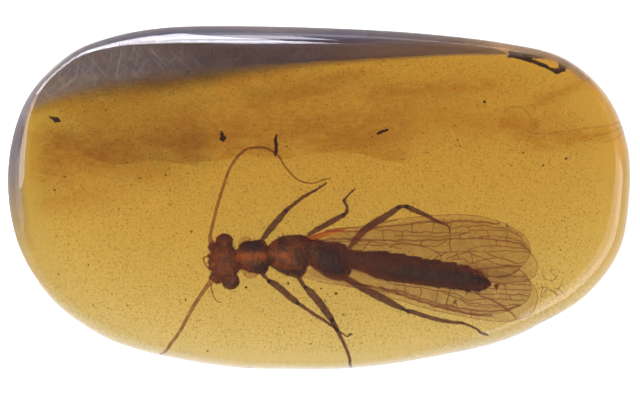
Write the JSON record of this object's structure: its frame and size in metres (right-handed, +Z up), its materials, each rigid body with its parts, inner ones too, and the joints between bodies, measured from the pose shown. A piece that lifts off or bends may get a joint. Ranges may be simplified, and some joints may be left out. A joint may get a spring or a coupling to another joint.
{
  "type": "fossil stonefly in amber",
  "caption": "Polished pebble of clear golden amber with a winged fossil stonefly sealed inside, legs and antennae spread.",
  "frame": {"origin": "on the ground under the middle of the pebble's outline", "axes": "+X along the pebble from the stonefly's head towards its wing tips, +Y towards the pebble's thick edge, +Z up"},
  "size_m": [0.031, 0.0172, 0.0063],
  "materials": {
    "amber": "clear golden resin, polished, with fine dust and flow lines inside",
    "cuticle": "dark brown insect cuticle with thin brown-tinted wing membranes",
    "plant": "dark brown plant debris, dull"
  },
  "bodies": {
    "root": {"amber_lower": "amber", "amber_upper": "amber", "stonefly": "cuticle", "plant_fragment": "plant", "splinter_left": "plant", "splinter_wedge": "plant", "splinter_rod": "plant", "splinter_right": "plant"}
  },
  "joints": []
}
